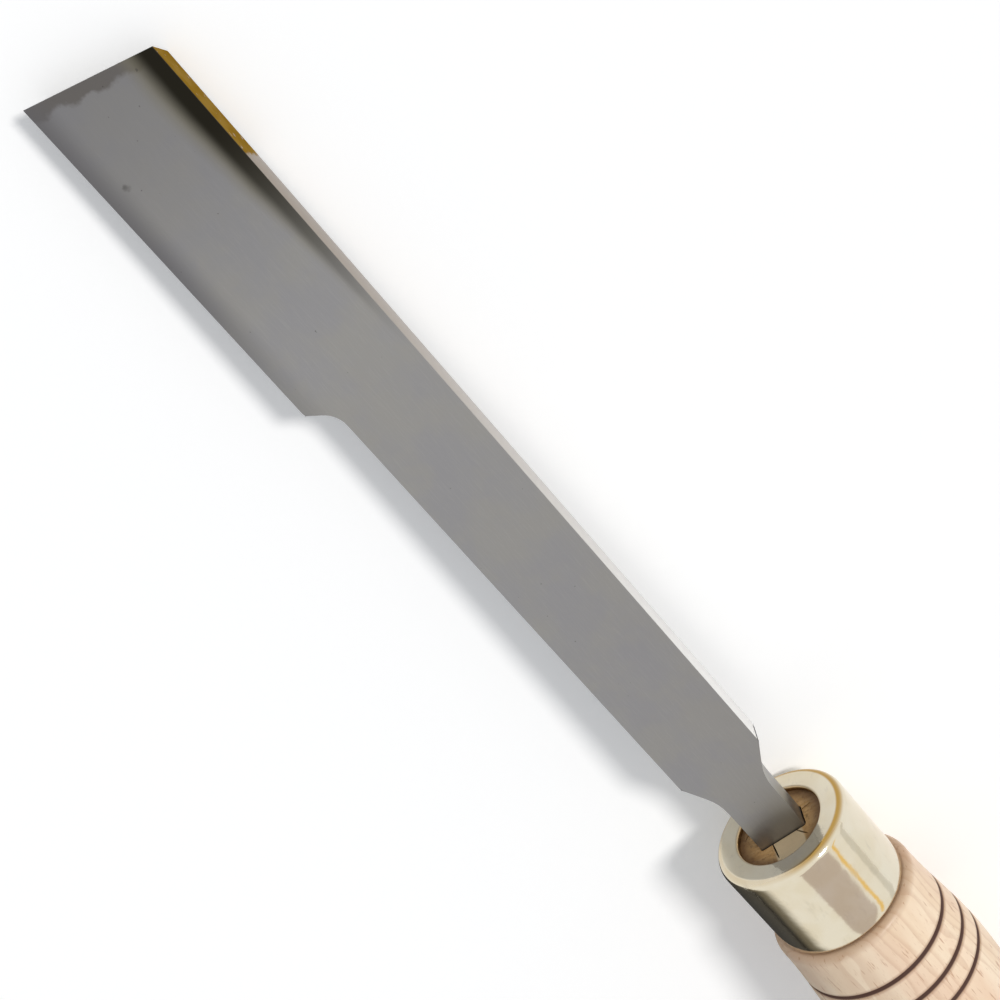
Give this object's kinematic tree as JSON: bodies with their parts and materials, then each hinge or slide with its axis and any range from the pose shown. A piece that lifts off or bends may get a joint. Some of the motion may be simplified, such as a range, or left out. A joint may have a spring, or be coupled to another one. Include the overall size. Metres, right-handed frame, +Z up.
{
  "type": "side-cutting turning scraper",
  "caption": "Side-cutting turning scraper: flat ground steel blade with a relief step and tang, turned-in ferrule and turned wooden handle.",
  "frame": {"origin": "middle of the tool's bounding box, on the bench that it lies on", "axes": "+X along the tool towards the cutting end, +Y towards the cutting side of the blade, +Z up from the bench; the tool rests on the lower edge of its tip and on the bead of its handle, so its own axis slopes down 3.5 degrees towards the tip"},
  "size_m": [0.4264, 0.0316, 0.0406],
  "materials": {
    "blade_steel": "satin ground, darker along the right edge and the cutting end",
    "ferrule_plate": "polished, warm plated",
    "handle_wood": "pale close-grained wood with a thin clear finish and burnt lines"
  },
  "bodies": {
    "root": {"blade": "blade_steel", "ferrule": "ferrule_plate", "handle": "handle_wood"}
  },
  "joints": []
}
